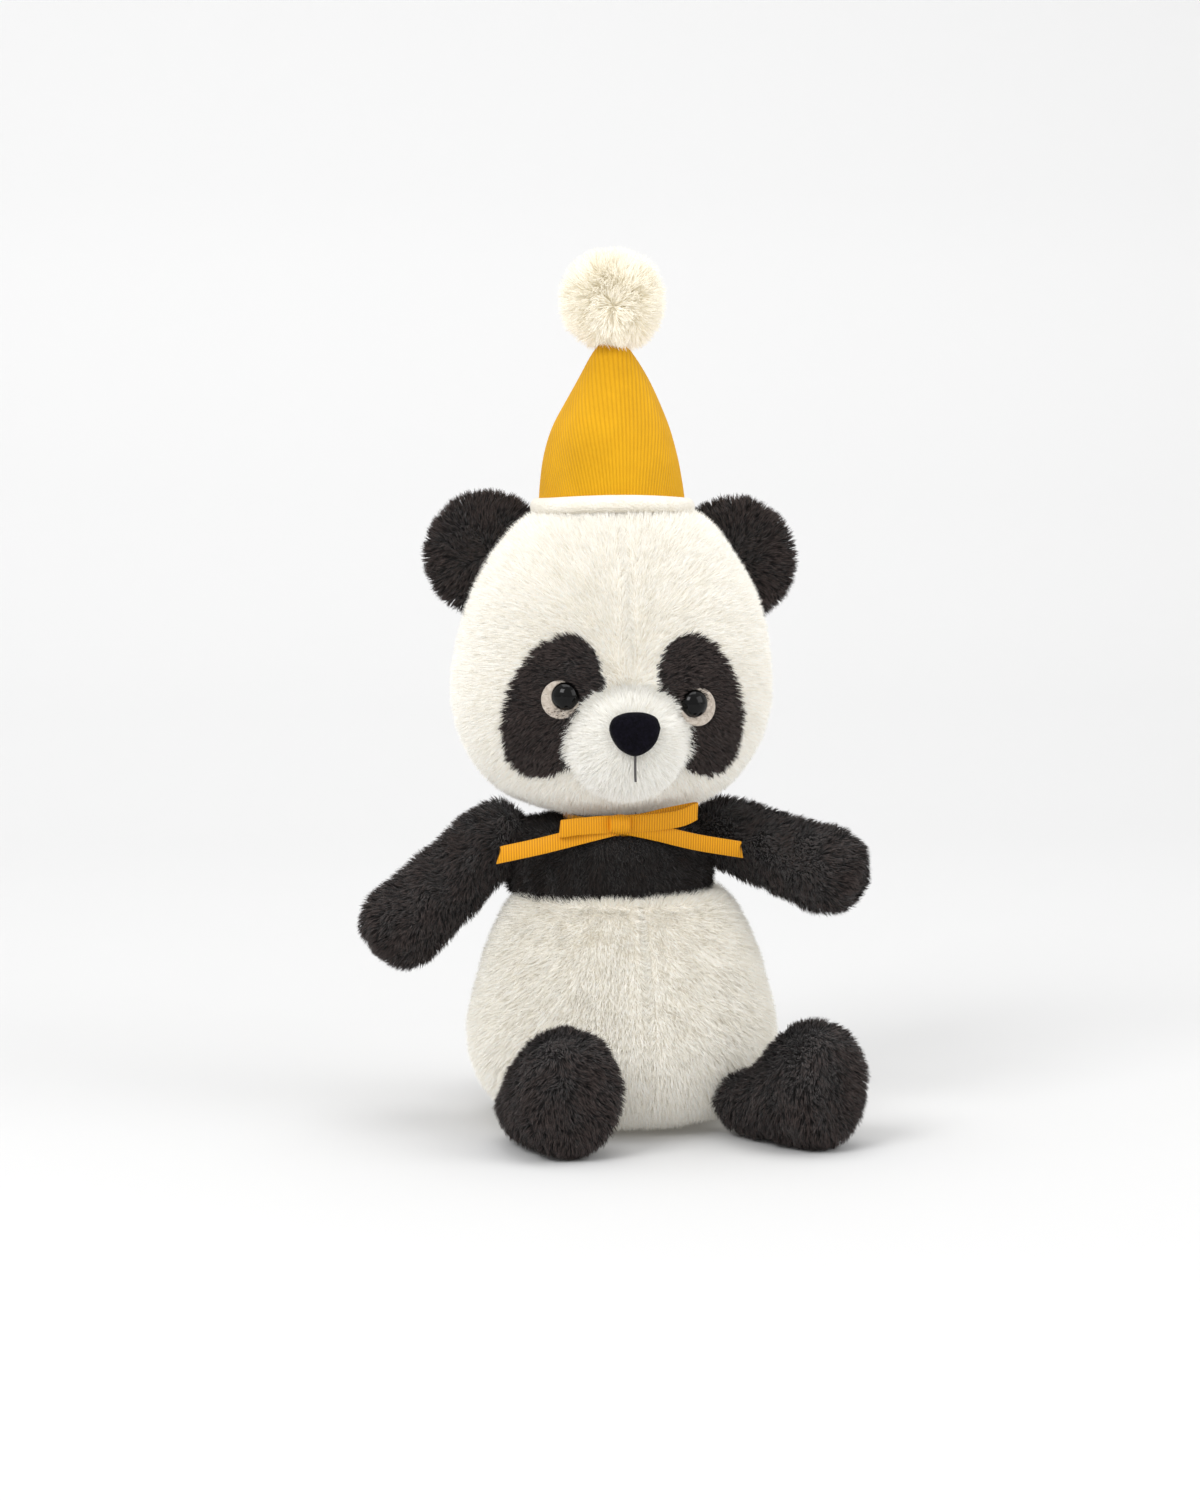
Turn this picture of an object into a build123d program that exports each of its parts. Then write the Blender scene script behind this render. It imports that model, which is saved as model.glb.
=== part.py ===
from build123d import *

import os
from math import asin, cos, degrees, radians, sin

# Sitting plush panda with a party hat.
# Frame: +Z up, the toy faces -Y, its own left side is +X.
# Origin: centre of the flat seat that it sits on, on the table.
# All sizes are in millimetres, with the pile of the plush counted in.

# ---------------------------------------------------------------- driving dimensions
PILE_CLOTH = 3.0  # plush cloth with its pile
SHORT_CLOTH = 1.2  # velour of the hat
GAP = 0.35  # free space between pieces that move on each other
POCKET_GAP = 0.8  # round the gathered root of an arm
HIP_GAP = 2.6  # round the root of a leg, which swings along the belly

BELLY_AXIS = (0.0, 0.0)
SEAT_RADIUS = 26.0
BELLY_RADIUS = 39.6
BELLY_WIDEST = 21.0
BELLY_TOP = 57.0
WAIST_RADIUS = 26.6

TORSO_AXIS = (-2.8, 3.0)
TORSO_RADIUS = 26.2
TORSO_TOP = 73.0
COLLAR_RADIUS = 20.2

HEAD_AXIS = (-1.9, 4.0)
HEAD_BOTTOM = 77.5
HEAD_TOP = 155.5
HEAD_RADIUS = 40.2
HEAD_WIDEST = 109.0
NECK_RADIUS = 8.0
CROWN_RADIUS = 3.0
SIDE_SEAM_BACK = 2.0  # the side seams run this far behind the middle of the head
CUT_DEPTH = HEAD_RADIUS + 10  # deep enough to pass through the front half of the head

FACE_X = -2.7
MUZZLE_CENTRE = (FACE_X, -27.0, 97.0)
MUZZLE_RADIUS = 15.5
NOSE_WIDTH = 11.9
NOSE_HEIGHT = 10.2
NOSE_CENTRE_Z = 99.8
NOSE_RAISE = 1.1
MOUTH_WIDTH = 0.9
MOUTH_LENGTH = 7.2
MOUTH_RAISE = 0.6
NOSE_CORNER = 1.5

EYE_SPREAD = 15.7
EYE_DIAMETER = 7.0
EYE_DOME = 2.9
EYE_SHANK_RADIUS = 1.3
EYE_SHANK_LENGTH = 11.0
FELT_DIAMETER = 10.0
FELT_THICKNESS = 1.0
FELT_SHIFT = 0.75
FELT_ROOT = 1.5  # how far the disc reaches back into the round face before it is trimmed
WASHER_RADIUS = 4.5
WASHER_THICKNESS = 1.0
WASHER_GAP = 1.3  # the face is round and the washer flat
PATCH_HALF_WIDTH = 11.0
PATCH_HALF_HEIGHT = 17.4
PATCH_TILT = 17.0
PATCH_SPREAD = 18.6

EAR_RADIUS = 15.2
EAR_THICKNESS = 8.0
EAR_LEAN = 32.0
EAR_Y = 10.0
EAR_EDGE = 3.4

HAT_BASE = 153.0
HAT_RADIUS = 18.4
HAT_TIP = 193.0
HAT_TIP_RADIUS = 2.8
HAT_TUCK = 5.0  # how far the cone runs down inside the brim
BAND_RING_RADIUS = 19.0
BAND_ROLL_RADIUS = 2.7
BAND_Z = 153.4
POMPOM_RADIUS = 11.9
POMPOM_Z = 204.2
POMPOM_TIE_RADIUS = 1.2
STITCH_THICKNESS = 1.2
STITCH_REST = 0.5  # the neck stitching starts this far above the upper body
STITCH_SLACK = 1.0  # and ends this far under the head

RIBBON_WIDTH = 4.5
RIBBON_THICKNESS = 0.5
RIBBON_Z = 74.9
NECK_RIBBON_ACROSS = 16.9
NECK_RIBBON_DEEP = 21.3
KNOT_SIZE = (5.2, 4.2, 4.8)
KNOT_CENTRE = (-3.7, -20.9, 75.6)
KNOT_CORNER = 1.4
LOOP_LENGTH = 15.6
LOOP_DEPTH = 2.8
LOOP_SETBACK = 0.4
TAIL_LENGTH = 27.5
TAIL_FORWARD = 1.7  # the tails come out in front of the loops
TAIL_DROP = 1.0
TAIL_SWELL = 0.3
TAIL_CURL = 2.4
BOW_GAP = 0.7  # where a loop or tail comes out of the knot

ARM_BALL = 6.5
ARM_RADIUS = 9.0
PAW_RADIUS = 9.9
LEG_BALL = 6.8
LEG_RADIUS = 9.4
FOOT_HALF_WIDTH = 14.2
FOOT_HALF_HEIGHT = 16.0
FOOT_DEPTH = 15.0
FOOT_EDGE = 5.5
SOLE_CLOTH = 3.0
LEG_LENGTH = 17.5
SHIN_TUCK = 5.0  # how far the shin runs into the foot

PELLET_BAG_RADIUS = 20.0
PELLET_BAG_HEIGHT = 13.0
BAG_CLOTH = 0.6
BAG_CORNER = 5.0
BAG_REST = 1.0  # stuffing between the seat and the bag
BELLY_SEAM_FORWARD = 6.0  # the side seams of the belly run this far in front of its axis

# Left and right are the toy's own sides.
ARMS = {
    "right": {"shoulder": (-32.3, 1.8, 69.7), "along": (-27.0, -2.0, -24.5), "length": 31.0},
    "left": {"shoulder": (27.0, -1.0, 70.6), "along": (26.6, -17.0, -9.0), "length": 28.0},
}
LEGS = {
    "right": {"hip": (-27.5, -29.4, 10.6), "turn": 11.0},
    "left": {"hip": (25.5, -30.4, 10.6), "turn": 38.0},
}
EYES = {"right": {"side": -1, "z": 108.2}, "left": {"side": 1, "z": 106.2}}
EARS = {"right": {"side": -1, "z": 141.0, "reach": 30.8}, "left": {"side": 1, "z": 139.4, "reach": 31.8}}
PATCH_Z = 105.4
BOW = {
    "right": {"side": -1, "loop_rise": -2.0, "tail_fall": 14.5},
    "left": {"side": 1, "loop_rise": 5.0, "tail_fall": 13.0},
}

os.makedirs("parts", exist_ok=True)


def save(piece, name):
    """Write one finished piece under the name of its node."""
    piece.part.label = name
    export_step(piece.part, f"parts/{name}.step")


def upright(axis):
    """The vertical plane through a vertical axis, where a half outline is drawn."""
    return Plane(origin=(*axis, 0), x_dir=(1, 0, 0), z_dir=(0, -1, 0))


def turned_form(axis, outline):
    """A round form turned about a vertical axis from a smooth half outline, closed at both ends."""
    with BuildPart() as form:
        with BuildSketch(upright(axis)):
            with BuildLine():
                edge = Spline(*outline, tangents=((1, 0), (-1, 0)))
                low = outline[0][1]
                high = outline[-1][1]
                Polyline(edge @ 1, (0, high), (0, low), edge @ 0)
            make_face()
        revolve(axis=Axis((*axis, 0), (0, 0, 1)))
    return form.part


def head_outline(inset):
    """Half outline of the head, wide at the cheeks, drawn in by inset."""
    middle = (HEAD_BOTTOM + HEAD_TOP) / 2
    shrink = 1 - inset / HEAD_RADIUS
    outline = [
        (NECK_RADIUS, HEAD_BOTTOM),
        (20.0, 79.5),
        (30.5, 84.8),
        (37.5, 94.5),
        (HEAD_RADIUS, HEAD_WIDEST),
        (38.4, 122.5),
        (33.4, 136.3),
        (22.5, 149.5),
        (11.0, 154.6),
        (CROWN_RADIUS, HEAD_TOP),
    ]
    return [(r * shrink, middle + (z - middle) * shrink) for r, z in outline]


def hat_outline(inset):
    """Half outline of the cone with its swelling sides, from the brim to the tip."""
    return [
        (HAT_RADIUS - inset, HAT_BASE - HAT_TUCK),
        (HAT_RADIUS - 0.2 - inset, HAT_BASE + 4),
        (16.2 - inset, 168.0),
        (10.2 - inset, 181.0),
        (HAT_TIP_RADIUS + 0.6 * (SHORT_CLOTH - inset), HAT_TIP - inset),
    ]


def cone_form(inset):
    """The hat's cone as one solid, round at the tip."""
    points = hat_outline(inset)
    with BuildPart() as form:
        with BuildSketch(upright(HEAD_AXIS)):
            with BuildLine():
                side = Spline(*points, tangents=((0, 1), (-0.5, 1)))
                Polyline(side @ 1, (0, points[-1][1]), (0, points[0][1]), side @ 0)
            make_face()
        revolve(axis=Axis((*HEAD_AXIS, 0), (0, 0, 1)))
    return form.part


def ball(centre, radius):
    """A sphere, for pockets, the muzzle and the pom-pom."""
    with BuildPart() as form:
        with Locations(centre):
            Sphere(radius)
    return form.part


def limb_plane(root, along):
    """A plane whose X axis runs along a limb and whose Y axis points up."""
    limb = Vector(*along).normalized()
    level = Vector(0, 0, 1).cross(limb)
    return Plane(origin=root, x_dir=limb, z_dir=level * -1)


def limb_form(root, along, outline, end_radius, length):
    """A stuffed tube turned about the limb's own line, from its gathered root to its round end."""
    plane = limb_plane(root, along)
    with BuildPart() as form:
        with BuildSketch(plane):
            with BuildLine():
                side = Spline(*outline, tangents=((0, 1), (1, 0)))
                cap = RadiusArc(side @ 1, (length + end_radius, 0), end_radius)
                Line(cap @ 1, side @ 0)
            make_face()
        revolve(axis=Axis(root, along))
    return form.part


# ---------------------------------------------------------------- shared forms
head_form = turned_form(HEAD_AXIS, head_outline(0))
head_core = turned_form(HEAD_AXIS, head_outline(PILE_CLOTH))
cone_outer = cone_form(0)
cone_inner = cone_form(SHORT_CLOTH)
face_front = upright((FACE_X, HEAD_AXIS[1] - CUT_DEPTH))


def eye_place(side, z):
    """Where the middle of an eye meets the face, and the way that the eye looks."""
    across = FACE_X + side * EYE_SPREAD - HEAD_AXIS[0]
    deep = (HEAD_RADIUS**2 - across**2) ** 0.5
    point = Vector(HEAD_AXIS[0] + across, HEAD_AXIS[1] - deep, z)
    return point, Vector(across, -deep, 0).normalized()


def patch_column(side):
    """The oval of one eye patch, pushed through the front of the head."""
    with BuildPart() as column:
        with BuildSketch(face_front):
            with Locations(Location((side * PATCH_SPREAD, PATCH_Z, 0), side * PATCH_TILT)):
                Ellipse(PATCH_HALF_WIDTH, PATCH_HALF_HEIGHT)
        extrude(amount=-CUT_DEPTH)
    return column.part


def shank(side, z):
    """The stem of a safety eye with its barbed end, seen from outside the face inwards."""
    point, looks = eye_place(side, z)
    with BuildPart() as stem:
        with BuildSketch(Plane(origin=point + looks * FELT_THICKNESS, z_dir=looks * -1)):
            Circle(EYE_SHANK_RADIUS)
        extrude(amount=EYE_SHANK_LENGTH)
    return stem.part


def washer_disc(side, z):
    """The room of the lock washer on the inside of the face."""
    point, looks = eye_place(side, z)
    with BuildPart() as disc:
        with BuildSketch(Plane(origin=point - looks * (PILE_CLOTH + WASHER_GAP), z_dir=looks * -1)):
            Circle(WASHER_RADIUS)
        extrude(amount=WASHER_THICKNESS)
    return disc.part


muzzle_form = ball(MUZZLE_CENTRE, MUZZLE_RADIUS)
muzzle_core = ball(MUZZLE_CENTRE, MUZZLE_RADIUS - PILE_CLOTH)
seam_plane = Plane.XZ.offset(SIDE_SEAM_BACK - HEAD_AXIS[1])
middle_plane = Plane.YZ.offset(HEAD_AXIS[0])

# ---------------------------------------------------------------- head stuffing round the eye stems
with BuildPart() as head_stuffing:
    add(head_core)
    for eye in EYES.values():
        add(shank(**eye), mode=Mode.SUBTRACT)
        add(washer_disc(**eye), mode=Mode.SUBTRACT)
save(head_stuffing, "head_stuffing")

# ---------------------------------------------------------------- head cover
with BuildPart() as face_panel:
    add(head_form)
    add(head_core, mode=Mode.SUBTRACT)
    split(bisect_by=seam_plane, keep=Keep.TOP)
    for eye in EYES.values():
        add(patch_column(eye["side"]), mode=Mode.SUBTRACT)
save(face_panel, "face_panel")

for name, keep in {"right": Keep.BOTTOM, "left": Keep.TOP}.items():
    with BuildPart() as back_panel:
        add(head_form)
        add(head_core, mode=Mode.SUBTRACT)
        split(bisect_by=seam_plane, keep=Keep.BOTTOM)
        split(bisect_by=middle_plane, keep=keep)
    save(back_panel, f"{name}_head_back_panel")

for name, eye in EYES.items():
    with BuildPart() as eye_patch:
        add(head_form)
        add(head_core, mode=Mode.SUBTRACT)
        add(patch_column(eye["side"]), mode=Mode.INTERSECT)
        add(shank(**eye), mode=Mode.SUBTRACT)
    save(eye_patch, f"{name}_eye_patch")

with BuildPart() as muzzle:
    add(muzzle_form)
    add(muzzle_core, mode=Mode.SUBTRACT)
    add(head_form, mode=Mode.SUBTRACT)
save(muzzle, "muzzle")

with BuildPart() as muzzle_stuffing:
    add(muzzle_core)
    add(head_form, mode=Mode.SUBTRACT)
save(muzzle_stuffing, "muzzle_stuffing")

# ---------------------------------------------------------------- eyes, nose and mouth
for name, eye in EYES.items():
    place, looks = eye_place(eye["side"], eye["z"])

    with BuildPart() as felt_disc:
        outward = Vector(-looks.Y * eye["side"], looks.X * eye["side"], 0)
        centre = place + outward * FELT_SHIFT - Vector(0, 0, FELT_SHIFT)
        with BuildSketch(Plane(origin=centre + looks * FELT_THICKNESS, z_dir=looks)):
            Circle(FELT_DIAMETER / 2)
        extrude(amount=-(FELT_THICKNESS + FELT_ROOT))
        add(head_form, mode=Mode.SUBTRACT)
        add(muzzle_form, mode=Mode.SUBTRACT)
        add(shank(**eye), mode=Mode.SUBTRACT)
    save(felt_disc, f"{name}_felt_disc")

    with BuildPart() as safety_eye:
        front = place + looks * FELT_THICKNESS
        dome_radius = (EYE_DOME**2 + (EYE_DIAMETER / 2) ** 2) / (2 * EYE_DOME)
        sunk = dome_radius - EYE_DOME
        with Locations(Plane(origin=front - looks * sunk, z_dir=looks)):
            Sphere(dome_radius, arc_size1=degrees(asin(sunk / dome_radius)), align=(Align.NONE,) * 3)
        add(shank(**eye))
    save(safety_eye, f"{name}_safety_eye")

    with BuildPart() as lock_washer:
        add(washer_disc(**eye))
        add(shank(**eye), mode=Mode.SUBTRACT)
    save(lock_washer, f"{name}_lock_washer")

with BuildPart() as nose:
    with BuildSketch(face_front):
        with BuildLine():
            top = NOSE_CENTRE_Z + NOSE_HEIGHT / 2
            brow = ThreePointArc(
                (-NOSE_WIDTH / 2, NOSE_CENTRE_Z), (0, top), (NOSE_WIDTH / 2, NOSE_CENTRE_Z)
            )
            Polyline(brow @ 1, (0, top - NOSE_HEIGHT), brow @ 0)
        make_face()
        fillet(vertices().group_by(Axis.Z)[0], radius=NOSE_CORNER)
    extrude(amount=-CUT_DEPTH)
    add(ball(MUZZLE_CENTRE, MUZZLE_RADIUS + NOSE_RAISE), mode=Mode.INTERSECT)
    add(muzzle_form, mode=Mode.SUBTRACT)
    add(head_form, mode=Mode.SUBTRACT)
save(nose, "nose")

with BuildPart() as mouth_stitch:
    with BuildSketch(face_front):
        with Locations((0, NOSE_CENTRE_Z - (NOSE_HEIGHT + MOUTH_LENGTH) / 2)):
            Rectangle(MOUTH_WIDTH, MOUTH_LENGTH)
    extrude(amount=-CUT_DEPTH)
    add(ball(MUZZLE_CENTRE, MUZZLE_RADIUS + MOUTH_RAISE), mode=Mode.INTERSECT)
    add(muzzle_form, mode=Mode.SUBTRACT)
    add(head_form, mode=Mode.SUBTRACT)
    add(nose.part, mode=Mode.SUBTRACT)
save(mouth_stitch, "mouth_stitch")

# ---------------------------------------------------------------- ears, each folding on its root line
for name, ear in EARS.items():
    lean = radians(EAR_LEAN)
    outward = Vector(ear["side"] * cos(lean), 0, sin(lean))
    root_radius = EAR_THICKNESS / 2
    surface = Vector(HEAD_AXIS[0] + ear["side"] * ear["reach"], EAR_Y, ear["z"])
    hinge = surface + outward * (root_radius + GAP)
    ear_plane = Plane(origin=hinge, x_dir=outward, z_dir=(0, -1, 0))
    half_chord = (EAR_RADIUS**2 - root_radius**2) ** 0.5
    with BuildPart() as ear_form:
        with BuildSketch(ear_plane):
            with Locations((-root_radius - GAP, 0)):
                Circle(EAR_RADIUS)
            with Locations((-EAR_RADIUS, 0)):
                Rectangle(2 * EAR_RADIUS, 3 * EAR_RADIUS, mode=Mode.SUBTRACT)
        extrude(amount=EAR_THICKNESS / 2, both=True)
        rim = edges().filter_by(GeomType.CIRCLE)
        fillet(rim, radius=EAR_EDGE)
        root_end = hinge - ear_plane.y_dir * (half_chord - EAR_EDGE)
        with BuildSketch(Plane(origin=root_end, z_dir=ear_plane.y_dir)):
            Circle(root_radius)
        extrude(amount=2 * (half_chord - EAR_EDGE))
    for half, keep in {"front": Keep.TOP, "back": Keep.BOTTOM}.items():
        with BuildPart() as ear_half:
            add(ear_form.part)
            split(bisect_by=ear_plane, keep=keep)
        save(ear_half, f"{name}_ear_{half}")

# ---------------------------------------------------------------- hat and pom-pom
with BuildPart() as hat_shell:
    add(cone_outer)
    add(cone_inner, mode=Mode.SUBTRACT)
    add(head_form, mode=Mode.SUBTRACT)
save(hat_shell, "hat_shell")

with BuildPart() as hat_band:
    with BuildSketch(upright(HEAD_AXIS)):
        with Locations((BAND_RING_RADIUS, BAND_Z)):
            Circle(BAND_ROLL_RADIUS)
        with Locations((HAT_RADIUS / 2, BAND_Z)):
            Rectangle(HAT_RADIUS, 3 * BAND_ROLL_RADIUS, mode=Mode.SUBTRACT)
    revolve(axis=Axis((*HEAD_AXIS, 0), (0, 0, 1)))
    add(head_form, mode=Mode.SUBTRACT)
save(hat_band, "hat_band")

with BuildPart() as hat_stuffing:
    add(cone_inner)
    add(head_form, mode=Mode.SUBTRACT)
save(hat_stuffing, "hat_stuffing")

tie_foot = (*HEAD_AXIS, HAT_TIP + 2 * GAP)
with BuildPart() as pompom_tie:
    with BuildSketch(Plane(origin=tie_foot)):
        Circle(POMPOM_TIE_RADIUS)
    extrude(amount=POMPOM_Z - HAT_TIP)
save(pompom_tie, "pompom_tie")

with BuildPart() as pompom:
    add(ball((*HEAD_AXIS, POMPOM_Z), POMPOM_RADIUS))
    add(ball((*HEAD_AXIS, HAT_TIP - HAT_TIP_RADIUS), 2 * HAT_TIP_RADIUS), mode=Mode.SUBTRACT)
    add(pompom_tie.part, mode=Mode.SUBTRACT)
save(pompom, "pompom")

# ---------------------------------------------------------------- limbs
# Each outline gives the way along the limb and the radius there.
arm_outline = [(-ARM_BALL, 0), (0, ARM_BALL), (7.5, ARM_BALL + 0.1), (15, ARM_RADIUS)]
leg_outline = [(-LEG_BALL, 0), (0, LEG_BALL), (7, LEG_BALL + 0.2), (14, LEG_RADIUS)]
pockets = {}
hip_pockets = {}

for name, arm in ARMS.items():
    reach = arm["length"]
    outer = limb_form(arm["shoulder"], arm["along"], arm_outline + [(reach, PAW_RADIUS)], PAW_RADIUS, reach)
    slim = [(s + PILE_CLOTH * (s < 0), max(r - PILE_CLOTH, 0)) for s, r in arm_outline]
    slim.append((reach, PAW_RADIUS - PILE_CLOTH))
    inner = limb_form(arm["shoulder"], arm["along"], slim, PAW_RADIUS - PILE_CLOTH, reach)
    plane = limb_plane(arm["shoulder"], arm["along"])
    for half, keep in {"upper": Keep.TOP, "under": Keep.BOTTOM}.items():
        with BuildPart() as sleeve:
            add(outer)
            add(inner, mode=Mode.SUBTRACT)
            split(bisect_by=Plane(origin=plane.origin, x_dir=plane.x_dir, z_dir=plane.y_dir), keep=keep)
        save(sleeve, f"{name}_arm_{half}_panel")
    with BuildPart() as stuffing:
        add(inner)
    save(stuffing, f"{name}_arm_stuffing")
    pockets[name] = ball(arm["shoulder"], ARM_BALL + POCKET_GAP)

for name, leg in LEGS.items():
    turn = radians(leg["turn"])
    hip = Vector(*leg["hip"])
    along = Vector(sin(turn), -cos(turn), 0)
    level = Plane(origin=hip, x_dir=along, z_dir=(0, 0, 1))
    foot_middle = Vector(hip.X, hip.Y, FOOT_HALF_HEIGHT) + along * LEG_LENGTH
    foot_plane = Plane(origin=foot_middle, x_dir=level.y_dir, z_dir=along)

    with BuildPart() as foot_form:
        with BuildSketch(foot_plane):
            Ellipse(FOOT_HALF_WIDTH, FOOT_HALF_HEIGHT)
        extrude(amount=FOOT_DEPTH)
        fillet(edges(), radius=FOOT_EDGE)
    with BuildPart() as foot_core:
        with BuildSketch(foot_plane.offset(PILE_CLOTH)):
            Ellipse(FOOT_HALF_WIDTH - PILE_CLOTH, FOOT_HALF_HEIGHT - PILE_CLOTH)
        extrude(amount=FOOT_DEPTH - PILE_CLOTH - SOLE_CLOTH)
    with BuildPart() as shin_form:
        with BuildSketch(limb_plane(leg["hip"], along)):
            with BuildLine():
                side = Spline(*leg_outline, tangents=((0, 1), (1, 0)))
                shin_end = LEG_LENGTH + SHIN_TUCK
                Polyline(side @ 1, (shin_end, LEG_RADIUS), (shin_end, 0), side @ 0)
            make_face()
        revolve(axis=Axis(leg["hip"], along))
    with BuildPart() as shin_core:
        with BuildSketch(Plane(origin=hip + along * (LEG_BALL - PILE_CLOTH), z_dir=along)):
            Circle(LEG_BALL - PILE_CLOTH)
        extrude(amount=LEG_LENGTH)

    with BuildPart() as leg_cover:
        add(shin_form.part)
        add(foot_form.part)
        add(foot_core.part, mode=Mode.SUBTRACT)
        add(shin_core.part, mode=Mode.SUBTRACT)
        split(bisect_by=foot_plane.offset(FOOT_DEPTH - SOLE_CLOTH), keep=Keep.BOTTOM)
    save(leg_cover, f"{name}_leg_cover")

    with BuildPart() as sole:
        add(foot_form.part)
        split(bisect_by=foot_plane.offset(FOOT_DEPTH - SOLE_CLOTH), keep=Keep.TOP)
    save(sole, f"{name}_sole")

    with BuildPart() as leg_stuffing:
        add(foot_core.part)
        add(shin_core.part)
    save(leg_stuffing, f"{name}_leg_stuffing")
    hip_pockets[name] = ball(leg["hip"], LEG_BALL + HIP_GAP)

# ---------------------------------------------------------------- torso
torso_outline = [
    (WAIST_RADIUS, BELLY_TOP),
    (TORSO_RADIUS, 64.0),
    (TORSO_RADIUS - 1.4, 67.5),
    (COLLAR_RADIUS, 71.0),
    (COLLAR_RADIUS - 6, TORSO_TOP - 0.5),
    (0, TORSO_TOP),
]


def torso_form(inset):
    """The upper body as a round block with a soft shoulder edge and a flat top for the neck seam."""
    with BuildPart() as form:
        with BuildSketch(upright(TORSO_AXIS)):
            with BuildLine():
                shrink = 1 - inset / TORSO_RADIUS
                drop = inset / (TORSO_TOP - BELLY_TOP)
                points = [(r * shrink, z - (z - BELLY_TOP) * drop) for r, z in torso_outline]
                side = Spline(*points, tangents=((-0.1, 1), (-1, 0)))
                Polyline(side @ 1, (0, BELLY_TOP), side @ 0)
            make_face()
        revolve(axis=Axis((*TORSO_AXIS, 0), (0, 0, 1)))
    return form.part


torso_outer = torso_form(0)
torso_inner = torso_form(PILE_CLOTH)
with BuildPart() as torso_cover:
    add(torso_outer)
    add(torso_inner, mode=Mode.SUBTRACT)
    for pocket in pockets.values():
        add(pocket, mode=Mode.SUBTRACT)
save(torso_cover, "torso_cover")

with BuildPart() as torso_stuffing:
    add(torso_inner)
    for pocket in pockets.values():
        add(pocket, mode=Mode.SUBTRACT)
save(torso_stuffing, "torso_stuffing")

with BuildPart() as neck_stitching:
    with BuildSketch(Plane(origin=(*HEAD_AXIS, TORSO_TOP + STITCH_REST))):
        Circle(NECK_RADIUS)
        Circle(NECK_RADIUS - STITCH_THICKNESS, mode=Mode.SUBTRACT)
    extrude(amount=HEAD_BOTTOM - TORSO_TOP - STITCH_REST - STITCH_SLACK)
save(neck_stitching, "neck_stitching")

# ---------------------------------------------------------------- belly
def belly_outline(inset):
    """Half outline of the pear-shaped belly with its flat seat."""
    return [
        (SEAT_RADIUS - inset, inset),
        (BELLY_RADIUS - 4.3 - inset, 7.0),
        (BELLY_RADIUS - inset, BELLY_WIDEST),
        (BELLY_RADIUS - 4.0 - inset, 40.3),
        (WAIST_RADIUS + 0.8 - inset, BELLY_TOP),
    ]


def belly_form(inset):
    """The belly as one solid."""
    with BuildPart() as form:
        with BuildSketch(upright(BELLY_AXIS)):
            with BuildLine():
                side = Spline(*belly_outline(inset), tangents=((1, 0.35), (-0.75, 1)))
                Polyline(side @ 1, (0, BELLY_TOP), (0, inset), side @ 0)
            make_face()
        revolve(axis=Axis((*BELLY_AXIS, 0), (0, 0, 1)))
        for pocket in hip_pockets.values():
            add(pocket, mode=Mode.SUBTRACT)
    return form.part


belly_outer = belly_form(0)
belly_inner = belly_form(PILE_CLOTH)
belly_seam = Plane.XZ.offset(-BELLY_SEAM_FORWARD)
bag_floor = PILE_CLOTH + BAG_REST

with BuildPart() as belly_ring:
    add(belly_outer)
    add(belly_inner, mode=Mode.SUBTRACT)
    with BuildSketch(Plane.XY):
        Circle(SEAT_RADIUS)
    extrude(amount=PILE_CLOTH, mode=Mode.SUBTRACT)

with BuildPart() as belly_back_panel:
    add(belly_ring.part)
    split(bisect_by=belly_seam, keep=Keep.BOTTOM)
save(belly_back_panel, "belly_back_panel")

for name, keep in {"right": Keep.BOTTOM, "left": Keep.TOP}.items():
    with BuildPart() as belly_front_panel:
        add(belly_ring.part)
        split(bisect_by=belly_seam, keep=Keep.TOP)
        split(bisect_by=Plane.YZ, keep=keep)
    save(belly_front_panel, f"{name}_belly_front_panel")

with BuildPart() as seat_panel:
    with BuildSketch(Plane.XY):
        Circle(SEAT_RADIUS)
    extrude(amount=PILE_CLOTH)
save(seat_panel, "seat_panel")

with BuildPart() as bag_form:
    with BuildSketch(Plane.XY.offset(bag_floor)):
        Circle(PELLET_BAG_RADIUS)
    extrude(amount=PELLET_BAG_HEIGHT)
    fillet(edges(), radius=BAG_CORNER)

with BuildPart() as pellets:
    with BuildSketch(Plane.XY.offset(bag_floor + BAG_CLOTH)):
        Circle(PELLET_BAG_RADIUS - BAG_CLOTH)
    extrude(amount=PELLET_BAG_HEIGHT - 2 * BAG_CLOTH)
    fillet(edges(), radius=BAG_CORNER - BAG_CLOTH)
save(pellets, "pellets")

with BuildPart() as pellet_bag:
    add(bag_form.part)
    add(pellets.part, mode=Mode.SUBTRACT)
save(pellet_bag, "pellet_bag")

with BuildPart() as belly_stuffing:
    add(belly_inner)
    add(bag_form.part, mode=Mode.SUBTRACT)
save(belly_stuffing, "belly_stuffing")

# ---------------------------------------------------------------- ribbon and bow
with BuildPart() as neck_ribbon:
    with BuildSketch(Plane(origin=(*TORSO_AXIS, RIBBON_Z - RIBBON_WIDTH / 2))):
        Ellipse(NECK_RIBBON_ACROSS, NECK_RIBBON_DEEP)
        Ellipse(
            NECK_RIBBON_ACROSS - RIBBON_THICKNESS,
            NECK_RIBBON_DEEP - RIBBON_THICKNESS,
            mode=Mode.SUBTRACT,
        )
    extrude(amount=RIBBON_WIDTH)
save(neck_ribbon, "neck_ribbon")

with BuildPart() as bow_knot:
    with Locations(KNOT_CENTRE):
        Box(*KNOT_SIZE)
    fillet(edges(), radius=KNOT_CORNER)
save(bow_knot, "bow_knot")


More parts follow.
